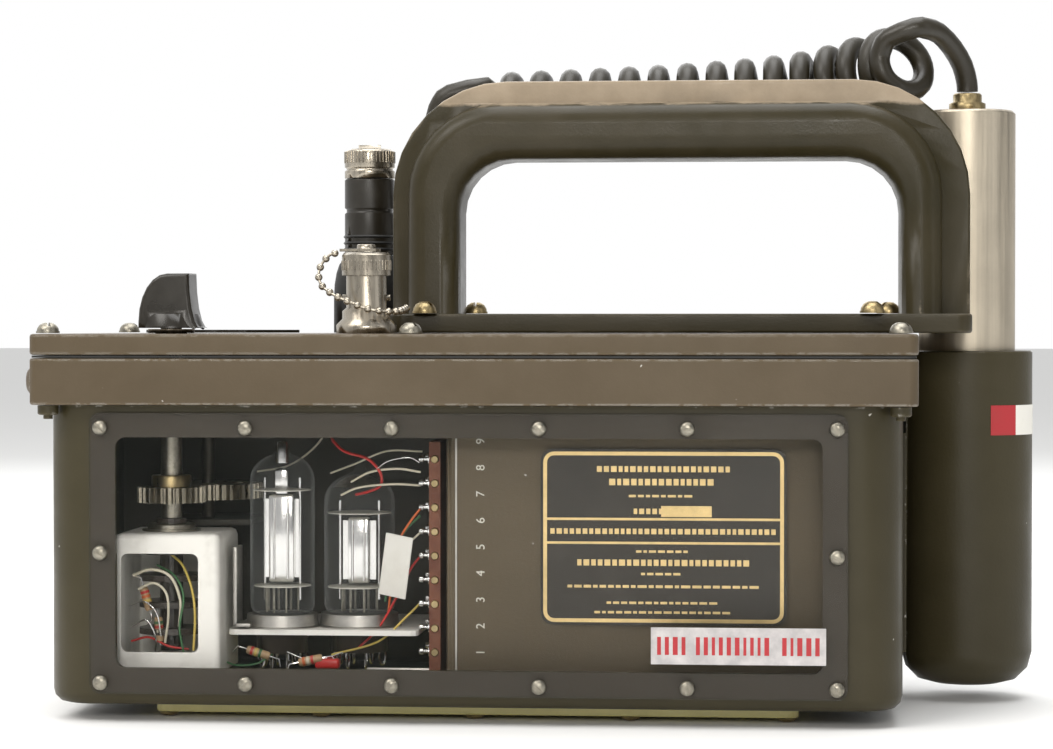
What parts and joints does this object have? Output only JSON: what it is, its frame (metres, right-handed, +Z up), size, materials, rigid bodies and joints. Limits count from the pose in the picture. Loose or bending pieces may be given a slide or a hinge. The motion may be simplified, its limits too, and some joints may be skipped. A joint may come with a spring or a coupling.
{
  "type": "radiation survey meter",
  "caption": "Portable radiation survey meter: drawn case with clear side and bottom windows, arched cast handle, range knob, capped jack, and a tube probe in an end well on a curly cord.",
  "frame": {"origin": "centre of the instrument's footprint box at the level of the bottom screw heads, cord left out", "axes": "+X towards the probe well, -Y out of the clear side window, +Z up"},
  "size_m": [0.3028, 0.122, 0.2123],
  "materials": {
    "olive_paint": "semi-gloss olive brown enamel, chipped along its edges",
    "panel_paint": "semi-gloss brown grey enamel",
    "cast_paint": "semi-gloss olive brown enamel on a light alloy casting",
    "black_rubber": "moulded rubber",
    "black_plastic": "moulded phenolic",
    "cord_rubber": "smooth rubber jacket",
    "clear_plastic": "polished clear acrylic",
    "amber_plastic": "aged yellow clear acrylic",
    "satin_aluminium": "brushed",
    "nickel": "nickel plated",
    "steel": "zinc plated",
    "brass": "dull brass",
    "white_enamel": "cream white",
    "phenolic": "red brown laminate",
    "valve_glass": "clear",
    "plate_black": "black field",
    "battery_pack": "olive painted case"
  },
  "bodies": {
    "root": {"case_body": "olive_paint", "case_collar": "panel_paint", "panel_gasket": "black_rubber", "top_panel": "panel_paint", "window_gasket": "black_rubber", "side_window": "clear_plastic", "bottom_window": "amber_plastic", "bottom_screw_1": "steel", "bottom_screw_2": "steel", "bottom_screw_3": "steel", "bottom_screw_4": "steel", "probe_well": "olive_paint", "strap_stud": "panel_paint", "handle": "cast_paint", "handle_screw_1": "steel", "handle_screw_2": "steel", "handle_screw_3": "steel", "handle_screw_4": "steel", "panel_screw_1": "steel", "panel_screw_2": "steel", "panel_screw_3": "steel", "panel_screw_4": "steel", "panel_screw_5": "steel", "panel_screw_6": "steel", "panel_bushing": "nickel", "meter_movement": "black_plastic", "meter_glass": "clear_plastic", "meter_bezel": "black_plastic", "phone_jack": "nickel", "cap_chain": "nickel", "post_boot": "black_rubber", "post_body": "black_plastic", "panel_gland": "brass", "cord_lead": "cord_rubber", "cord_coil": "cord_rubber", "cord_tail": "cord_rubber", "switch_shield": "white_enamel", "switch_wafers": "phenolic", "valve_deck": "satin_aluminium", "backplane": "satin_aluminium", "valve_socket_1": "white_enamel", "valve_socket_2": "white_enamel", "valve_1": "valve_glass", "valve_2": "valve_glass", "terminal_board": "phenolic", "battery_box": "battery_pack", "nameplate": "plate_black"},
    "knob": {"range_knob": "black_plastic", "switch_shaft": "steel", "drive_gear": "brass"},
    "scale": {"scale_gear": "brass", "scale_arbor": "steel", "scale_dial": "white_enamel"},
    "pointer": {"meter_pointer": "black_plastic"},
    "cap_clip": {"chain_clip": "nickel"},
    "jack_cap": {"jack_cap": "nickel"},
    "post_cap": {"post_cap": "nickel"},
    "probe": {"probe_tube": "satin_aluminium", "probe_gland": "brass", "probe_end_cap": "black_plastic"}
  },
  "joints": [
    {"name": "range_knob_turn", "type": "hinge", "parent": "root", "child": "knob", "pos_m": [-0.11005, -0.033, 0.115], "axis": [0, 0, 1], "range_deg": [0, 150]},
    {"name": "scale_turn", "type": "hinge", "parent": "root", "child": "scale", "pos_m": [-0.10355, -0.00824, 0.066], "axis": [0, 0, 1], "range_deg": [-90, 0]},
    {"name": "pointer_swing", "type": "hinge", "parent": "root", "child": "pointer", "pos_m": [-0.10355, -0.00824, 0.099], "axis": [0, 0, 1], "range_deg": [-72, 0], "stiffness_Nm_per_rad": 0.00005},
    {"name": "jack_cap_lift", "type": "slide", "parent": "root", "child": "cap_clip", "axis": [0, 0, 1], "range_m": [0, 0.018], "deforming": ["cap_chain"]},
    {"name": "jack_cap_twist", "type": "hinge", "parent": "cap_clip", "child": "jack_cap", "pos_m": [-0.04945, -0.042, 0.134], "axis": [0, 0, 1], "range_deg": [-90, 0]},
    {"name": "post_cap_turn", "type": "hinge", "parent": "root", "child": "post_cap", "pos_m": [-0.05755, 0.024, 0.165], "axis": [0, 0, 1], "range_deg": [0, 360]},
    {"name": "probe_lift", "type": "slide", "parent": "root", "child": "probe", "axis": [0, 0, 1], "range_m": [0, 0.11], "deforming": ["cord_lead", "cord_coil"]}
  ],
  "couplings": [
    {"joint": "scale_turn", "follows": "range_knob_turn", "ratio": -0.6}
  ]
}
